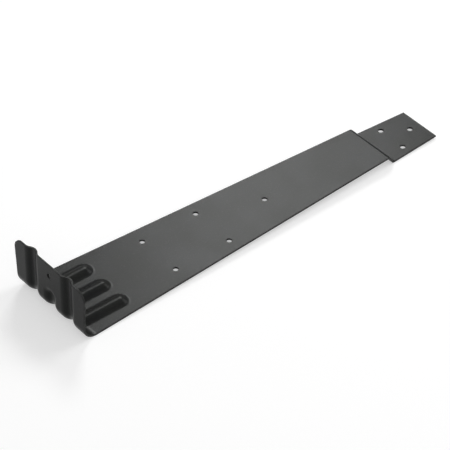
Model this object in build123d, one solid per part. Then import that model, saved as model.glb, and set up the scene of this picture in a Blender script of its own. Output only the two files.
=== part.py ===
from build123d import *
import os
from math import acos, cos, sin

# Roof snow guard bracket, folded and pressed from one steel sheet.
# Length along X, from the upstand at low X to the nail tab at high X. Width along Y, height along Z.
# While it is built, X and Z count from the sharp outer corner of the fold.
# At the end the origin moves to the tab's underside, midway between its pair of nail holes.

# Sheet and outline, in mm
sheet_thickness = 1.5
total_length = 343.0
tab_length = 50.2
width_at_fold = 75.0
width_at_step = 43.2
tab_end_width = 36.0
upstand_height = 44.0
upstand_corner_radius = 8.0
fold_outer_radius = 12.0

# Step down to the nail tab
step_run = 4.6
step_drop = 6.7
step_inner_radius = 2.0

# Raised ribs across the fold, measured on the raised side
rib_pitch = 20.2
rib_height = 2.7
rib_crown_radius = 7.0
rib_root_radius = 6.0
rib_ridge_end = 43.8
centre_ridge_rise = 16.5

# Holes
strap_hole_diameter = 4.0
strap_hole_first_row = 94.6
strap_hole_row_pitch = 48.5
strap_hole_spread = 38.0
tab_hole_diameter = 4.2
tab_hole_row_from_end = 28.0
tab_hole_spread = 24.5
tab_centre_hole_from_end = 9.9
upstand_hole_diameter = 4.2
upstand_hole_height = 34.5

# Values that follow from the ones above
step_start = total_length - tab_length
tab_hole_row = total_length - tab_hole_row_from_end
side_slope = (width_at_fold - width_at_step) / 2 / step_start
rib_steepest = acos(1 - rib_height / (rib_crown_radius + rib_root_radius))
rib_half_width = (rib_crown_radius + rib_root_radius) * sin(rib_steepest)
overrun = fold_outer_radius


def side_profile(thickness):
    """The bent sheet seen from the side, from the upstand's top to the tab's end."""
    step_end = step_start + step_run
    step_radius_out = step_inner_radius + sheet_thickness
    with BuildSketch(Plane.XZ) as sketch:
        with BuildLine():
            FilletPolyline(
                (0, upstand_height),
                (0, 0),
                (step_start, 0),
                (step_end, -step_drop),
                (total_length, -step_drop),
                radius=[fold_outer_radius, step_inner_radius, step_radius_out],
            )
            offset(amount=thickness, side=Side.LEFT)
        make_face()
    return sketch.sketch


def bent_sheet():
    """The side profile across the full width."""
    return extrude(side_profile(sheet_thickness), amount=width_at_fold, both=True)


def side_waste(side):
    """What is trimmed off one side. Its wall leans outwards, so that the taper runs on up the upstand."""
    lean_at_base = side_slope * step_drop
    tab_slope = (width_at_step / 2 - lean_at_base - tab_end_width / 2) / tab_length
    front_edge = width_at_fold / 2 + side_slope * overrun - lean_at_base
    step_edge = width_at_step / 2 - lean_at_base
    end_edge = tab_end_width / 2 - tab_slope * overrun
    with BuildPart() as waste:
        with BuildSketch(Plane.XY.offset(-step_drop)):
            with BuildLine():
                Polyline(
                    (-overrun, side * front_edge),
                    (step_start, side * step_edge),
                    (total_length + overrun, side * end_edge),
                    (total_length + overrun, side * width_at_fold * 2),
                    (-overrun, side * width_at_fold * 2),
                    close=True,
                )
            make_face()
        extrude(amount=upstand_height * 2, dir=(0, side * side_slope, 1))
    return waste.part


def side_cuts(sheet):
    """Trims both sides to the straight taper that runs from the upstand's top to the tab's end."""
    return sheet - [side_waste(1), side_waste(-1)]


def round_upstand_corners(sheet):
    """Rounds the two top corners of the upstand."""
    top_edges = sheet.edges().group_by(Axis.Z)[-1].sort_by(Axis.Y)
    return fillet([top_edges[0], top_edges[-1]], upstand_corner_radius)


def half_rib_section(crown_radius, root_radius, base, floor):
    """Half of the rib across its length: a crown arc and a hollow root arc that meet where it is steepest.

    The curve starts above the middle and runs out flat at height base, and is closed down to floor.
    """
    top = base + rib_height
    meet = (crown_radius * sin(rib_steepest), top - crown_radius * (1 - cos(rib_steepest)))
    half_angle = rib_steepest / 2
    on_crown = (crown_radius * sin(half_angle), top - crown_radius * (1 - cos(half_angle)))
    on_root = (rib_half_width - root_radius * sin(half_angle), base + root_radius * (1 - cos(half_angle)))
    with BuildSketch() as sketch:
        with BuildLine():
            ThreePointArc((0, top), on_crown, meet)
            ThreePointArc(meet, on_root, (rib_half_width, base))
            Polyline((rib_half_width, base), (rib_half_width, floor), (0, floor), (0, top))
        make_face()
    return sketch.sketch


def strap_plane(place, y):
    """The plane across the strap at a place along it: its X is the width, its Y the height."""
    return Plane(origin=(place, y, 0), x_dir=(0, 1, 0), z_dir=(1, 0, 0))


def upstand_plane(height, y):
    """The plane across the upstand at a height: its X is the width, its Y points to the inside."""
    return Plane(origin=(0, y, height), x_dir=(0, 1, 0), z_dir=(0, 0, -1))


def rib_body(half, y, rise):
    """The rib's section carried along the strap, round the fold and up the upstand, with a round strap end."""
    section = half + mirror(half, about=Plane.YZ)
    fold_axis = Axis((fold_outer_radius, 0, fold_outer_radius), (0, 1, 0))
    strap_end_axis = Axis((rib_ridge_end, y, 0), (0, 0, -1))
    return [
        revolve(strap_plane(rib_ridge_end, y) * half, strap_end_axis, 180),
        extrude(strap_plane(fold_outer_radius, y) * section, amount=rib_ridge_end - fold_outer_radius),
        revolve(strap_plane(fold_outer_radius, y) * section, fold_axis, 90),
        extrude(upstand_plane(rise, y) * section, amount=rise - fold_outer_radius),
    ]


def rib_bodies(half, top):
    """The three ribs: the outer two run up to the given top, the centre one ends round, low on the upstand."""
    centre_end_axis = Axis((0, 0, centre_ridge_rise), (1, 0, 0))
    bodies = rib_body(half, 0, centre_ridge_rise)
    bodies.append(revolve(upstand_plane(centre_ridge_rise, 0) * half, centre_end_axis, 180))
    for side in (1, -1):
        bodies += rib_body(half, side * rib_pitch, top)
    return bodies


def press_ribs(sheet):
    """Raises the ribs on the inside of the fold, with the matching grooves on the outside."""
    crown = half_rib_section(rib_crown_radius, rib_root_radius, sheet_thickness, sheet_thickness / 2)
    groove = half_rib_section(
        rib_crown_radius - sheet_thickness, rib_root_radius + sheet_thickness, 0, -sheet_thickness
    )
    raised = sheet + rib_bodies(crown, upstand_height)
    return raised - rib_bodies(groove, upstand_height + sheet_thickness)


def hole_through(diameter, x, y):
    """An upright cutter for a hole through the strap or the tab."""
    return Pos(x, y, 0) * Cylinder(diameter / 2, upstand_height)


def all_holes():
    """Cutters for the holes in the strap, the tab and the upstand."""
    strap_end_row = strap_hole_first_row + 2 * strap_hole_row_pitch
    cutters = [hole_through(strap_hole_diameter, strap_end_row, 0)]
    for row in (strap_hole_first_row, strap_hole_first_row + strap_hole_row_pitch):
        for side in (1, -1):
            cutters.append(hole_through(strap_hole_diameter, row, side * strap_hole_spread / 2))
    for side in (1, -1):
        cutters.append(hole_through(tab_hole_diameter, tab_hole_row, side * tab_hole_spread / 2))
    tab_centre_row = total_length - tab_centre_hole_from_end
    cutters.append(hole_through(tab_hole_diameter, tab_centre_row, 0))
    across_upstand = Rot(0, 90, 0) * Cylinder(upstand_hole_diameter / 2, 2 * fold_outer_radius)
    cutters.append(Pos(0, 0, upstand_hole_height) * across_upstand)
    return cutters


def make_bracket():
    """The whole bracket, with its origin on the tab's underside between the pair of nail holes."""
    pressed = press_ribs(bent_sheet())
    trimmed = round_upstand_corners(side_cuts(pressed))
    bracket = trimmed - all_holes()
    return Pos(-tab_hole_row, 0, step_drop) * bracket


bracket = make_bracket()
os.makedirs("parts", exist_ok=True)
export_step(bracket, "parts/bracket.step")
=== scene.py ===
import math
import bpy
import numpy as np
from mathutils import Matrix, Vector
from mathutils.geometry import delaunay_2d_cdt


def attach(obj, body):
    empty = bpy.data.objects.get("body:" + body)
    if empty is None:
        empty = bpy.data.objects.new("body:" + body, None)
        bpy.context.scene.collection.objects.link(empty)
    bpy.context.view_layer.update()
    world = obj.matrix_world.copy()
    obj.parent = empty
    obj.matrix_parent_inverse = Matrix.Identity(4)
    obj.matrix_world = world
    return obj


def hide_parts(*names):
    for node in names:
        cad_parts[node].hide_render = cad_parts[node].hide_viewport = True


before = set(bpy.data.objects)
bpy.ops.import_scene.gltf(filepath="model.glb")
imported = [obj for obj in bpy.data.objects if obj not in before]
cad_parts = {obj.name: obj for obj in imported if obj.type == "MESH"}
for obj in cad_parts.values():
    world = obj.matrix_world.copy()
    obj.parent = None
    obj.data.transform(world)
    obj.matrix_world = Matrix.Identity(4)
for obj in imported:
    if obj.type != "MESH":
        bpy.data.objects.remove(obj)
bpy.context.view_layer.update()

# Roof snow guard bracket: one pressed and folded steel sheet with a black coating.
# Metres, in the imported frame: strap along X, width along Y, height along Z.
scene = bpy.context.scene


# camera, at the photograph's viewing angle
view = {
    "azimuth": -39.35339,     # degrees, 0 looks along +Y
    "elevation": 40.39182,
    "target": (-0.16250308, -0.00279866, 0.0067),
    "distance": 1.99524008,
    "lens": 223.838,          # mm
    "sensorWidth": 36.0,      # mm
    "clip": (0.05, 20.0),
}


def towards(azimuth, elevation):
    # unit direction from the target to a viewer who stands at that azimuth and elevation
    a, e = math.radians(azimuth), math.radians(elevation)
    return Vector((math.sin(a) * math.cos(e), -math.cos(a) * math.cos(e), math.sin(e)))


def aim(thing, target, azimuth, elevation, distance):
    # stands a camera or a lamp in that direction from the target and turns it towards the target
    back = towards(azimuth, elevation)
    thing.location = Vector(target) + back * distance
    thing.rotation_mode = "QUATERNION"
    thing.rotation_quaternion = (-back).to_track_quat("-Z", "Y")


def makeCamera():
    cameraObject = bpy.data.objects.new("camera", bpy.data.cameras.new("camera"))
    scene.collection.objects.link(cameraObject)
    cameraObject.data.sensor_width = view["sensorWidth"]
    cameraObject.data.lens = view["lens"]
    cameraObject.data.clip_start, cameraObject.data.clip_end = view["clip"]
    aim(cameraObject, view["target"], view["azimuth"], view["elevation"], view["distance"])
    scene.camera = cameraObject


makeCamera()
print("camera set")


# the black coating: baked paint with a faint orange peel, a little dust in it, and thin, rubbed cut edges
coating = {
    "coolBlack": (0.0112, 0.0116, 0.0122, 1.0),
    "warmBlack": (0.0138, 0.0144, 0.0132, 1.0),
    "rubbed": (0.045, 0.046, 0.045, 1.0),
    "dust": (0.055, 0.056, 0.053, 1.0),
    "roughness": (0.29, 0.31),        # over the cool and the warm tone
    "rubbedRoughness": 0.42,
    "ior": 1.2,
    "sheenTint": (0.97, 1.0, 0.975, 1.0),
    # patterns: cycles per metre, detail, the range of the noise that is used, what it is spread over
    "tonePattern": (38.0, 4.0, 0.38, 0.62, 0.0, 1.0),
    "dustPattern": (1900.0, 1.0, 0.66, 0.74, 0.0, 0.6),
    "rubPattern": (260.0, 4.0, 0.4, 0.62, 0.15, 1.0),
    "peelNoise": (850.0, 3.0),        # cycles per metre, detail
    "peelDepth": 0.000035,            # metres
}


def makeCoating():
    material = bpy.data.materials.new("blackCoating")
    material.use_nodes = True
    tree = material.node_tree
    link = tree.links.new
    shader = tree.nodes["Principled BSDF"]
    shader.inputs["IOR"].default_value = coating["ior"]
    shader.inputs["Specular Tint"].default_value = coating["sheenTint"]
    place = tree.nodes.new("ShaderNodeTexCoord")

    def noise(scale, detail):
        node = tree.nodes.new("ShaderNodeTexNoise")
        node.inputs["Scale"].default_value = scale
        node.inputs["Detail"].default_value = detail
        link(place.outputs["Object"], node.inputs["Vector"])
        return node.outputs["Fac"]

    def pattern(scale, detail, *limits):
        # noise whose values between the first two limits are spread over the last two
        value = noise(scale, detail)
        node = tree.nodes.new("ShaderNodeMapRange")
        for socket, limit in zip(("From Min", "From Max", "To Min", "To Max"), limits):
            node.inputs[socket].default_value = limit
        link(value, node.inputs["Value"])
        return node.outputs["Result"]

    def times(first, second):
        node = tree.nodes.new("ShaderNodeMath")
        node.operation = "MULTIPLY"
        link(first, node.inputs[0])
        link(second, node.inputs[1])
        return node.outputs[0]

    def blendOf(kind, factor, first, second):
        # first where the factor is 0, second where it is 1; each is a socket or a plain value
        node = tree.nodes.new("ShaderNodeMix")
        node.data_type = kind
        sockets = [socket for socket in node.inputs if socket.enabled]
        link(factor, sockets[0])
        for socket, value in zip(sockets[1:], (first, second)):
            if isinstance(value, bpy.types.NodeSocket):
                link(value, socket)
            else:
                socket.default_value = value
        return next(socket for socket in node.outputs if socket.enabled)

    # slow drift between a cool and a warm black
    tone = pattern(*coating["tonePattern"])
    colour = blendOf("RGBA", tone, coating["coolBlack"], coating["warmBlack"])
    roughness = blendOf("FLOAT", tone, coating["roughness"][0], coating["roughness"][1])
    # specks of dust
    dust = pattern(*coating["dustPattern"])
    colour = blendOf("RGBA", dust, colour, coating["dust"])
    # rubbed edges: on the rim of the sheet's outline, broken up along it
    edge = tree.nodes.new("ShaderNodeAttribute")
    edge.attribute_name = "edgeWear"
    rub = times(edge.outputs["Fac"], pattern(*coating["rubPattern"]))
    colour = blendOf("RGBA", rub, colour, coating["rubbed"])
    roughness = blendOf("FLOAT", rub, roughness, coating["rubbedRoughness"])
    # orange peel
    peel = tree.nodes.new("ShaderNodeBump")
    peel.inputs["Strength"].default_value = 1.0
    peel.inputs["Distance"].default_value = coating["peelDepth"]
    link(noise(*coating["peelNoise"]), peel.inputs["Height"])
    link(colour, shader.inputs["Base Color"])
    link(roughness, shader.inputs["Roughness"])
    link(peel.outputs["Normal"], shader.inputs["Normal"])
    return material


# the bent and pressed sheet; lengths in mm, turned into metres when the mesh is made
sheet = {
    "thickness": 1.5,
    "length": 343.0,
    "tabLength": 50.2,
    "widthAtFold": 75.0,
    "widthAtStep": 43.2,
    "tabEndWidth": 36.0,
    "upstandHeight": 44.0,
    "cornerRadius": 8.0,
    "foldRadius": 12.0,
    "stepRun": 4.6,
    "stepDrop": 6.7,
    "stepRadius": 2.0,
    "edgeRounding": 0.22,
    "originFromFold": 315.0,  # the frame's origin lies between the tab's pair of holes
}
ribs = {
    "places": (-20.2, 0.0, 20.2),
    "height": 2.7,
    "crownRadius": 7.0,       # on the raised side
    "rootRadius": 6.0,        # on the raised side
    "ridgeEnd": 43.8,         # from the fold along the strap
    "centreRise": 16.5,       # height on the upstand at which the middle rib's ridge ends
}
holes = {                     # places are from the fold and across
    "strapPlaces": ((94.6, 19.0), (94.6, -19.0), (143.1, 19.0), (143.1, -19.0), (191.6, 0.0)),
    "tabPlaces": ((315.0, 12.25), (315.0, -12.25), (333.1, 0.0)),
    "strapDiameter": 4.0,
    "tabDiameter": 4.2,
    "upstandDiameter": 4.2,
    "upstandHeight": 34.5,
}
grid = {                      # how close together the surface's points are, in mm or as a count
    "fine": 0.55,             # round the fold and the ribs
    "wide": 4.0,              # on the flats
    "acrossBends": 3.0,
    "bendRows": 33,           # along the path through the step
    "fineInside": 41.0,       # how far past the fold the inside is fine
    "fineOutline": 45.0,      # how far past the fold the outline is fine
    "afterFine": 3.0,         # gaps between the blocks of points
    "beforeBends": 2.0,
    "afterBends": 2.5,
    "afterBendsOutline": 0.5,
    "tabRows": 14,            # along the tab's sides
    "cornerPoints": 17,
    "topPoints": 111,
    "endPoints": 19,
    "holePoints": 48,
    "roundingRows": 4,
    "mergeDistance": 0.00001,
    "slopeStep": 0.02,        # over which the ribs' slopes are taken
}
mmPerMetre = 1000
stepStart = sheet["length"] - sheet["tabLength"]


def pathPieces():
    # the sheet's lower side seen from the side, as lines and arcs from the upstand's top to the tab's end:
    # each piece is its start along the path, its length, start point, start direction and turn per mm
    t, r = sheet["thickness"], sheet["stepRadius"]
    dip = math.atan2(sheet["stepDrop"], sheet["stepRun"])
    legLength = math.hypot(sheet["stepRun"], sheet["stepDrop"])
    cutIn, cutOut = r * math.tan(dip / 2), (r + t) * math.tan(dip / 2)
    runs = [
        (sheet["upstandHeight"] - sheet["foldRadius"], 0.0),
        (sheet["foldRadius"] * math.pi / 2, math.pi / 2),
        (stepStart - sheet["foldRadius"] - cutIn, 0.0),
        (r * dip, -dip),
        (legLength - cutIn - cutOut, 0.0),
        ((r + t) * dip, dip),
        (sheet["length"] - stepStart - sheet["stepRun"] - cutOut, 0.0),
    ]
    pieces, point, heading, s = [], np.array([0.0, sheet["upstandHeight"]]), -math.pi / 2, 0.0
    for length, turn in runs:
        bend = turn / length
        pieces.append((s, length, point, heading, bend))
        if turn:
            middle = point + np.array([-math.sin(heading), math.cos(heading)]) / bend
            heading += turn
            point = middle - np.array([-math.sin(heading), math.cos(heading)]) / bend
        else:
            point = point + length * np.array([math.cos(heading), math.sin(heading)])
        s += length
    return pieces


path = pathPieces()
pathLength = path[-1][0] + path[-1][1]
foldEnd = path[2][0]
bendsStart, bendsEnd = path[3][0], path[6][0]


def onPath(s):
    # point, heading and bend of the path at arc length s; on an arc the point moves by
    # (sin turned - sin angle, cos angle - cos turned) / curve, and past its ends the path runs on straight
    x, z = np.zeros_like(s), np.zeros_like(s)
    heading, bend = np.zeros_like(s), np.zeros_like(s)
    for number, (start, _, point, angle, curve) in enumerate(path):
        inside = s >= start if number else np.ones(s.shape, bool)
        d = s[inside] - start
        if curve:
            turned = angle + curve * d
            x[inside] = point[0] + (np.sin(turned) - math.sin(angle)) / curve
            z[inside] = point[1] - (np.cos(turned) - math.cos(angle)) / curve
        else:
            turned = np.full(d.shape, angle)
            x[inside] = point[0] + d * math.cos(angle)
            z[inside] = point[1] + d * math.sin(angle)
        heading[inside], bend[inside] = turned, curve
    return x, z, heading, bend


def ribSection(d):
    # the underside's height at distance d from the rib's middle: height - crown + sqrt(crown^2 - d^2) over
    # the crown, root - sqrt(root^2 - (reach - d)^2) down to the flat; they meet where the flank is steepest
    crown, root = ribs["crownRadius"] - sheet["thickness"], ribs["rootRadius"] + sheet["thickness"]
    steepest = math.acos(1 - ribs["height"] / (crown + root))
    reach = (crown + root) * math.sin(steepest)
    d = np.abs(d)
    onCrown = ribs["height"] - crown + np.sqrt(np.maximum(crown**2 - d**2, 0))
    onRoot = root - np.sqrt(root**2 - np.clip(reach - d, 0, reach)**2)
    return np.where(d < crown * math.sin(steepest), onCrown, onRoot)


def ribHeight(s, v):
    # how far the underside is pushed in: the section carried along each rib, and turned round its free ends
    height = np.zeros_like(s)
    for place in ribs["places"]:
        beyond = np.maximum(s - foldEnd - ribs["ridgeEnd"] + sheet["foldRadius"], 0)
        if place == 0:
            beyond = beyond + np.maximum(sheet["upstandHeight"] - ribs["centreRise"] - s, 0)
        height = np.maximum(height, ribSection(np.hypot(v - place, beyond)))
    return height


def unit(vectors):
    return vectors / np.linalg.norm(vectors, axis=-1, keepdims=True)


def ontoSheet(s, v, depth):
    # path point, moved in by the rib's height along the path's normal, then by depth along the true normal;
    # gives points, true normals and the two directions in the surface, each as (x, v, z)
    x, z, heading, bend = onPath(s)
    h = ribHeight(s, v)
    step = grid["slopeStep"]
    alongS = (ribHeight(s + step, v) - ribHeight(s - step, v)) / (2 * step) / (1 - bend * h)
    alongV = (ribHeight(s, v + step) - ribHeight(s, v - step)) / (2 * step)
    size = np.sqrt(1 + alongS**2 + alongV**2)
    tx, tz = np.cos(heading), np.sin(heading)
    nx, nz = -tz, tx
    normal = np.stack([nx - alongS * tx, -alongV, nz - alongS * tz], axis=-1) / size[:, None]
    points = np.stack([x + nx * h, v, z + nz * h], axis=-1) + depth[:, None] * normal
    flatAcross = np.zeros_like(normal)
    flatAcross[:, 1] = 1.0
    lengthwise = unit(np.cross(flatAcross, normal))
    crosswise = np.cross(normal, lengthwise)
    return points, normal, lengthwise, crosswise


def halfWidth(s):
    # half the sheet's width at s; the taper of the strap runs on up the upstand and down the step
    x, z, _, _ = onPath(s)
    slope = (sheet["widthAtFold"] - sheet["widthAtStep"]) / 2 / stepStart
    strap = sheet["widthAtFold"] / 2 - slope * (x - np.maximum(z, -sheet["stepDrop"]))
    base = sheet["widthAtStep"] / 2 - slope * sheet["stepDrop"]
    tab = base + (sheet["tabEndWidth"] / 2 - base) * (x - stepStart) / sheet["tabLength"]
    tab = tab + slope * (z + sheet["stepDrop"])
    return np.where(x < stepStart, strap, tab)


def loopNormals(points):
    # direction in the flat pattern that points out of the sheet, mitred at corners; the loop runs with
    # the sheet on its left
    along = unit(np.roll(points, -1, axis=0) - points)
    after = np.stack([along[:, 1], -along[:, 0]], axis=1)
    before = np.roll(after, 1, axis=0)
    return (before + after) / (1 + np.sum(before * after, axis=1, keepdims=True))


def outlineLoop():
    # the sheet's outline in the flat pattern, (s, v), anticlockwise, with the upstand's corners rounded
    r = sheet["cornerRadius"]
    fineEnd = foldEnd + grid["fineOutline"]
    stations = np.concatenate([
        np.arange(r, fineEnd, grid["fine"]),
        np.arange(fineEnd, bendsStart, grid["wide"]),
        np.linspace(bendsStart, bendsEnd, grid["bendRows"]),
        np.linspace(bendsEnd + grid["afterBendsOutline"], pathLength, grid["tabRows"]),
    ])
    rightSide = np.stack([stations, halfWidth(stations)], axis=1)
    turn = np.linspace(math.pi / 2, 0, grid["cornerPoints"])[1:]
    wide = halfWidth(np.array([r]))[0]
    topRight = np.stack([r - r * np.cos(turn), wide - r + r * np.sin(turn)], axis=1)[::-1]
    across = np.linspace(-(wide - r), wide - r, grid["topPoints"])[1:-1]
    top = np.stack([np.zeros_like(across), across], axis=1)
    end = np.linspace(rightSide[-1, 1], -rightSide[-1, 1], grid["endPoints"])[1:-1]
    endLine = np.stack([np.full_like(end, pathLength), end], axis=1)
    flip = np.array([1, -1])
    oneSide = [topRight, rightSide]
    otherSide = [(rightSide * flip)[::-1], (topRight * flip)[::-1]]
    return np.concatenate([top] + oneSide + [endLine] + otherSide)[::-1]


def holeLoop(s, v, diameter):
    # a hole's rim in the flat pattern, clockwise, with the sheet on its left
    turn = np.linspace(0, -2 * math.pi, grid["holePoints"] + 1)[:-1]
    return np.stack([s + diameter / 2 * np.cos(turn), v + diameter / 2 * np.sin(turn)], axis=1)


def stationOf(place):
    # arc length at which a place along the strap or the tab lies
    onStrap = foldEnd + place - sheet["foldRadius"]
    return onStrap if place < stepStart else pathLength - (sheet["length"] - place)


def holeSpots():
    # each hole in the flat pattern: arc length along the path, place across, diameter
    spots = [(stationOf(place), across, holes["strapDiameter"]) for place, across in holes["strapPlaces"]]
    spots += [(stationOf(place), across, holes["tabDiameter"]) for place, across in holes["tabPlaces"]]
    spots.append((sheet["upstandHeight"] - holes["upstandHeight"], 0.0, holes["upstandDiameter"]))
    return spots


def insideSheet(s, v, spots, room):
    # whether a place in the flat pattern lies inside the outline, and outside every hole, by some room
    corner = sheet["cornerRadius"]
    wide = halfWidth(np.maximum(s, corner))
    keep = (np.abs(v) < wide - room) & (s > room) & (s < pathLength - room)
    pastS, pastV = np.maximum(corner - s, 0), np.maximum(np.abs(v) - wide + corner, 0)
    keep &= (pastS == 0) | (pastV == 0) | (np.hypot(pastS, pastV) < corner - room)
    for holeS, holeV, diameter in spots:
        keep &= np.hypot(s - holeS, v - holeV) > diameter / 2 + room
    return keep


def insidePoints(spots):
    # rows of points in the flat pattern that lie clear of its outline and its holes: close together round
    # the ribs, in rows across the step's bends, wide apart on the flats
    fine, wide = grid["fine"], grid["wide"]
    fineEnd = foldEnd + grid["fineInside"]
    blocks = (                # stations, reach across, gap across, least distance from the rims
        (np.arange(fine, fineEnd, fine), 45.0, fine, 0.35),
        (np.arange(fineEnd + grid["afterFine"], bendsStart - grid["beforeBends"], wide), 40.0, wide, 1.2),
        (np.linspace(bendsStart, bendsEnd, grid["bendRows"]), 22.5, grid["acrossBends"], 0.8),
        (np.arange(bendsEnd + grid["afterBends"], pathLength, wide), 22.0, wide, 1.2),
    )
    kept = []
    for stations, reach, gap, room in blocks:
        across = np.arange(-reach, reach + 0.01, gap)     # the 0.01 keeps the row at the far reach
        s, v = np.meshgrid(stations, across, indexing="ij")
        s, v = s.ravel(), v.ravel()
        clear = insideSheet(s, v, spots, room + sheet["edgeRounding"])
        kept.append(np.stack([s, v], axis=1)[clear])
    return np.concatenate(kept)


def withinLoops(triangles, loops, count):
    # leaves out the triangles outside the sheet: their three corners run backwards round one loop
    number, size = np.full(count, -1), np.ones(count, int)
    start = 0
    for index, loop in enumerate(loops):
        number[start:start + len(loop)], size[start:start + len(loop)] = index, len(loop)
        start += len(loop)
    a, b, c = triangles.T
    oneLoop = (number[a] >= 0) & (number[a] == number[b]) & (number[b] == number[c])
    backwards = (b - a) % size[a] > (c - a) % size[a]
    return triangles[~(oneLoop & backwards)]


def flatPattern(loops, outs, starts, spots):
    # points and triangles of the flat pattern, whose loops are set in by the edges' rounding
    inset = [loop - sheet["edgeRounding"] * out for loop, out in zip(loops, outs)]
    pattern = np.concatenate(inset + [insidePoints(spots)])
    edges = []
    for start, loop in zip(starts, loops):
        ids = np.arange(len(loop))
        edges.append(start + np.stack([ids, (ids + 1) % len(loop)], axis=1))
    edges = np.concatenate(edges).tolist()
    triangles = delaunay_2d_cdt(pattern.tolist(), edges, [], 0, grid["mergeDistance"], False)[2]
    return pattern, withinLoops(np.array(triangles), loops, len(pattern))


def rimRows():
    # rows of points from the top to the underside, along a quarter circle, the cut face and a quarter circle:
    # place outwards, depth, and the shares of the sheet's normal and of the outward direction in the normal
    t, r = sheet["thickness"], sheet["edgeRounding"]
    arc = np.linspace(0, math.pi / 2, grid["roundingRows"])
    rows = [(-r * (1 - math.sin(a)), t - r * (1 - math.cos(a)), math.cos(a), math.sin(a)) for a in arc]
    rows += [(-r * (1 - math.sin(a)), r * (1 - math.cos(a)), -math.cos(a), math.sin(a)) for a in arc[::-1]]
    return rows[1:-1]         # the first and the last row are the rims of the top and the underside


def rimSurface(loop, out):
    # points and normals of the rows round one loop, and how far each point is worn
    points, normals, wear = [], [], []
    for shift, depth, up, sideways in rimRows():
        place = loop + shift * out
        spot, normal, lengthwise, crosswise = ontoSheet(place[:, 0], place[:, 1], np.full(len(loop), depth))
        outward = unit(out[:, :1] * lengthwise + out[:, 1:] * crosswise)
        points.append(spot)
        normals.append(up * normal + sideways * outward)
        wear.append(np.full(len(loop), sideways))
    return np.concatenate(points), np.concatenate(normals), np.concatenate(wear)


def rimFaces(topIds, underIds, firstId):
    # quads from the top's rim over the rows, which are numbered from firstId, to the underside's rim
    size = len(topIds)
    ids = [topIds] + [firstId + row * size + np.arange(size) for row in range(len(rimRows()))] + [underIds]
    faces = []
    for upper, lower in zip(ids[:-1], ids[1:]):
        faces += np.stack([upper, lower, np.roll(lower, -1), np.roll(upper, -1)], axis=1).tolist()
    return faces


def sheetSurface():
    # top and underside are the triangulated flat pattern laid onto the bent path, at the depth of the
    # thickness and at 0, and the rows of points round each loop join them
    spots = holeSpots()
    loops = [outlineLoop()] + [holeLoop(*spot) for spot in spots]
    outs = [loopNormals(loop) for loop in loops]
    starts = np.cumsum([0] + [len(loop) for loop in loops])
    pattern, triangles = flatPattern(loops, outs, starts, spots)
    count = len(pattern)
    s, v = pattern.T
    top, normal, _, _ = ontoSheet(s, v, np.full(count, sheet["thickness"]))
    under, _, _, _ = ontoSheet(s, v, np.zeros(count))
    points, normals, wear = [top, under], [normal, -normal], [np.zeros(2 * count)]
    faces = triangles.tolist() + (triangles[:, ::-1] + count).tolist()
    used = 2 * count
    for start, loop, out in zip(starts, loops, outs):
        rimPoints, rimNormals, rimWear = rimSurface(loop, out)
        topIds = start + np.arange(len(loop))
        faces += rimFaces(topIds, count + topIds, used)
        points.append(rimPoints)
        normals.append(rimNormals)
        wear.append(rimWear if start == 0 else 0 * rimWear)     # only the outline is worn, not the holes
        used += len(rimPoints)
    return np.concatenate(points), unit(np.concatenate(normals)), np.concatenate(wear), faces


def makeSheet():
    points, normals, wear, faces = sheetSurface()
    points = points + np.array([-sheet["originFromFold"], 0, sheet["stepDrop"]])
    mesh = bpy.data.meshes.new("bracketSheet")
    mesh.from_pydata((points / mmPerMetre).tolist(), [], faces)
    mesh.attributes.new("edgeWear", "FLOAT", "POINT").data.foreach_set("value", wear)
    mesh.shade_smooth()
    mesh.normals_split_custom_set_from_vertices(normals.tolist())
    mesh.materials.append(makeCoating())
    piece = bpy.data.objects.new("bracketSheet", mesh)
    scene.collection.objects.link(piece)
    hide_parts("bracket")
    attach(piece, "root")
    print("sheet made,", len(mesh.polygons), "faces")


makeSheet()


# floor: a plane that slopes with the bracket as it rests, with the tab lower than the strap
floorLook = {
    "size": 6.0,
    "underStep": (-0.0222, 0.0),      # two points (x, z) that it passes through
    "underFold": (-0.303, 0.0067),
    "colour": (0.6, 0.6, 0.6, 1.0),
    "glow": 0.5,
}


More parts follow.
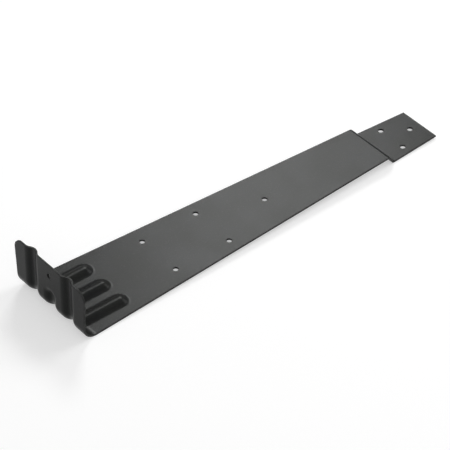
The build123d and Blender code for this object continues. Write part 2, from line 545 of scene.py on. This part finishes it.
def makeFloorPaper():
    # pale paper that takes the shadow, and a glow that only the camera, mirrors and clear things see
    material = bpy.data.materials.new("paleFloor")
    material.use_nodes = True
    tree = material.node_tree
    tree.nodes.clear()
    paper = tree.nodes.new("ShaderNodeBsdfDiffuse")
    paper.inputs["Color"].default_value = floorLook["colour"]
    glow = tree.nodes.new("ShaderNodeEmission")
    glow.inputs["Color"].default_value = (1, 1, 1, 1)
    paths = tree.nodes.new("ShaderNodeLightPath")
    seen = tree.nodes.new("ShaderNodeMath")
    seen.operation = "MAXIMUM"
    seenThrough = tree.nodes.new("ShaderNodeMath")
    seenThrough.operation = "MAXIMUM"
    strength = tree.nodes.new("ShaderNodeMath")
    strength.operation = "MULTIPLY"
    strength.inputs[1].default_value = floorLook["glow"]
    both = tree.nodes.new("ShaderNodeAddShader")
    out = tree.nodes.new("ShaderNodeOutputMaterial")
    link = tree.links.new
    link(paths.outputs["Is Camera Ray"], seen.inputs[0])
    link(paths.outputs["Is Glossy Ray"], seen.inputs[1])
    link(seen.outputs[0], seenThrough.inputs[0])
    link(paths.outputs["Is Transmission Ray"], seenThrough.inputs[1])
    link(seenThrough.outputs[0], strength.inputs[0])
    link(strength.outputs[0], glow.inputs["Strength"])
    link(paper.outputs[0], both.inputs[0])
    link(glow.outputs[0], both.inputs[1])
    link(both.outputs[0], out.inputs["Surface"])
    return material


def makeFloor():
    (x0, z0), (x1, z1) = floorLook["underStep"], floorLook["underFold"]
    slope = (z1 - z0) / (x1 - x0)
    half = floorLook["size"] / 2
    xs = np.array([-half, half, half, -half])
    ys = np.array([-half, -half, half, half])
    zs = z0 + slope * (xs - x0)
    mesh = bpy.data.meshes.new("floor")
    mesh.from_pydata(np.stack([xs, ys, zs], axis=1).tolist(), [], [(0, 1, 2, 3)])
    floor = bpy.data.objects.new("floor", mesh)
    scene.collection.objects.link(floor)
    mesh.materials.append(makeFloorPaper())


makeFloor()
print("floor laid")


# lights: a soft box behind the bracket that the black gloss mirrors, a fill beyond the tab that leaves the
# floor in front of the upstand in its shade, a wide weak fill near the viewer, and a dim even surround
surroundStrength = 0.3
lamps = {                     # azimuth, elevation, distance, width, height, radiance
    "softBoxBehind": (138.4, 40.5, 1.6, 0.42, 0.46, 14.6),
    "fillBeyondTab": (84.0, 42.0, 2.2, 1.0, 1.0, 4.3),
    "wideFillNear": (-28.0, 50.0, 2.5, 2.4, 2.4, 0.9),
}


def makeWorld():
    world = bpy.data.worlds.new("surround")
    scene.world = world
    world.use_nodes = True
    background = world.node_tree.nodes["Background"]
    background.inputs["Color"].default_value = (1, 1, 1, 1)
    background.inputs["Strength"].default_value = surroundStrength


def makeLamp(name, azimuth, elevation, distance, width, height, radiance):
    lamp = bpy.data.lights.new(name, "AREA")
    lamp.shape = "RECTANGLE"
    lamp.size = width
    lamp.size_y = height
    lamp.energy = radiance * math.pi * width * height
    lampObject = bpy.data.objects.new(name, lamp)
    scene.collection.objects.link(lampObject)
    aim(lampObject, view["target"], azimuth, elevation, distance)


makeWorld()
for lampName, lampValues in lamps.items():
    makeLamp(lampName, *lampValues)
scene.view_settings.view_transform = "Standard"
print("lights on")
